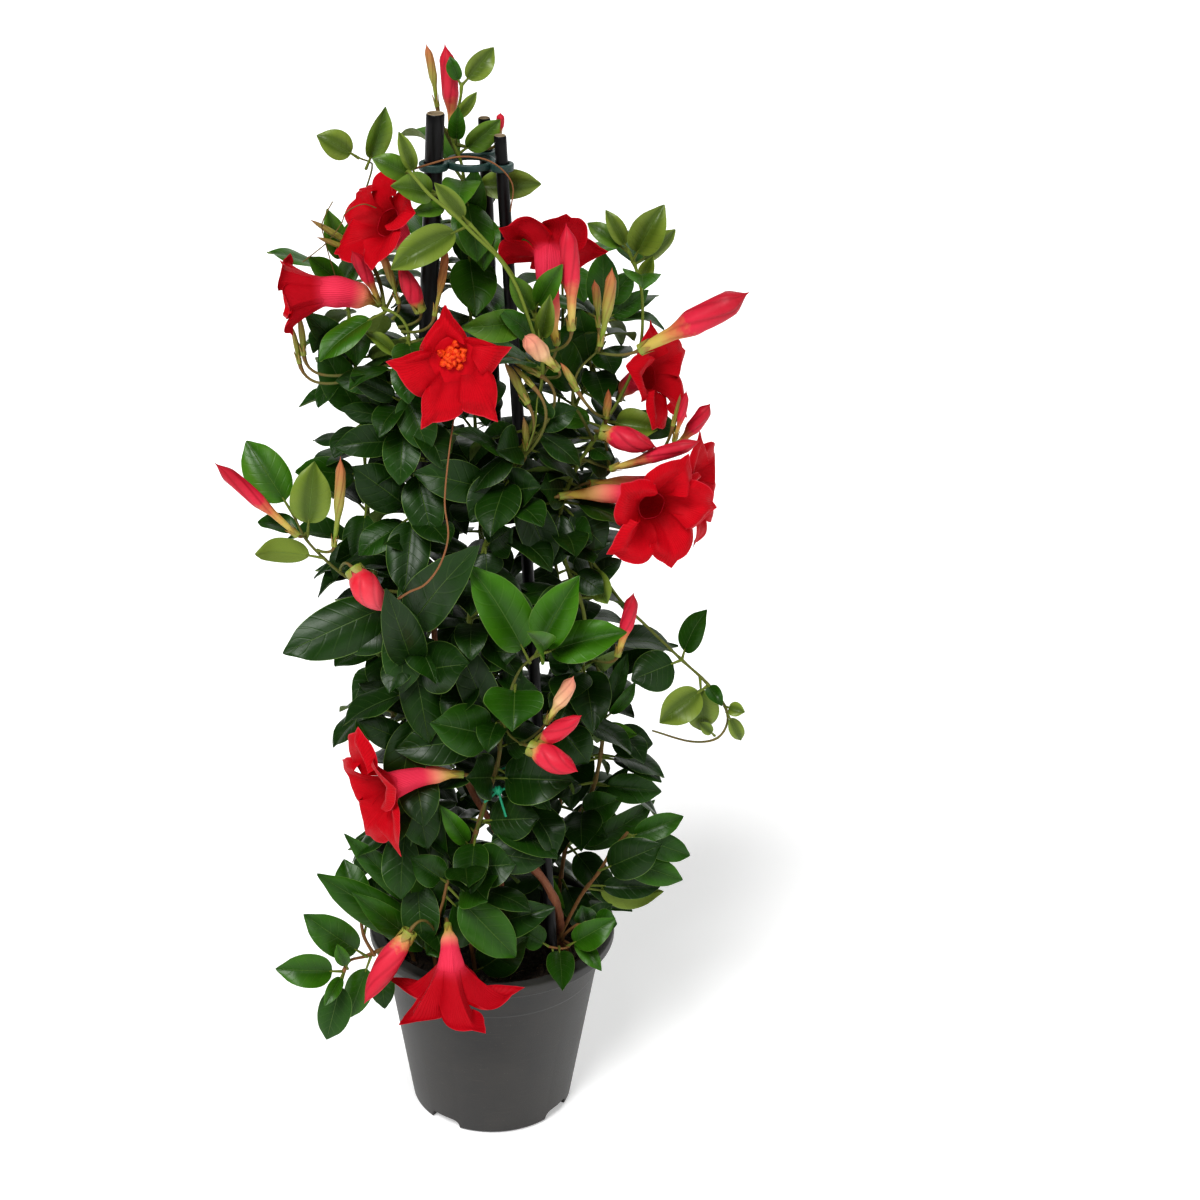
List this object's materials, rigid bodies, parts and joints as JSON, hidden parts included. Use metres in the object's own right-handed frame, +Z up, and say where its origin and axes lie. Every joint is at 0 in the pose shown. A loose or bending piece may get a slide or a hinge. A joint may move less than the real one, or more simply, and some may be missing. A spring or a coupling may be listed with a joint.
{
  "type": "potted climbing plant",
  "caption": "Climbing vine with red trumpet blooms, buds and opposite glossy leaves on a tripod of canes joined by a clip ring, in a round grey nursery pot.",
  "frame": {"origin": "on the pot's axis, on the flat underside that the pot stands on", "axes": "+Z up along the pot's axis; -Y towards the plant's front; +X to the front view's right"},
  "size_m": [0.3327, 0.2715, 0.75],
  "materials": {
    "pot": "dark grey moulded plastic, satin, lightly scuffed",
    "soil": "damp dark potting mix with bark and fibre, fully rough",
    "cane": "black plastic-coated cane, satin",
    "clip": "dark green moulded plastic, satin",
    "tie": "soft teal tape, matt",
    "wood": "reddish brown bark, rough",
    "foliage": "glossy green leaf blades and green stems",
    "petal": "soft satin petals, saturated red",
    "bud": "soft satin buds, pink red"
  },
  "bodies": {
    "root": {"nursery_pot": "pot", "soil": "soil", "cane_left": "cane", "cane_right": "cane", "cane_back": "cane", "clip_ring": "clip", "tie_front": "tie", "tie_left": "tie", "woody_stem_front": "wood", "woody_stem_tall": "wood", "vine_front_left": "foliage", "vine_front_centre": "foliage", "vine_front_right": "foliage", "vine_right": "foliage", "vine_left": "foliage", "vine_top": "foliage", "vine_back_right": "foliage", "vine_back_left": "foliage", "shoot_low_left": "foliage", "shoot_low_front": "foliage", "shoot_low_right": "foliage", "shoot_rim_right": "foliage", "bloom_star": "petal", "bloom_right_front": "petal", "bloom_right_back": "petal", "bloom_left_high": "petal", "bloom_left_top": "petal", "bloom_right_top": "petal", "bloom_right_mid": "petal", "bloom_left_low": "petal", "bloom_rim_front": "petal", "bud_top_red": "bud", "bud_top_orange": "bud", "bud_far_right": "bud", "bud_left_oval": "bud", "bud_left_long": "bud", "bud_left_orange": "bud", "bud_mid_right_fat": "bud", "bud_mid_right_low": "bud", "bud_mid_right_up": "bud", "bud_mid_right_thin": "bud", "bud_right_low": "bud", "bud_front_lower": "bud", "bud_front_middle": "bud", "bud_front_upper": "bud", "bud_rim_left": "bud", "bud_high_left_red": "bud", "bud_high_left_pink": "bud", "bud_high_left_orange": "bud", "bud_high_right_red": "bud", "bud_high_right_orange": "bud", "bud_high_right_thin": "bud", "bud_centre_pale": "bud", "bud_cane_brown": "bud", "bud_behind_cane": "bud"}
  },
  "joints": []
}
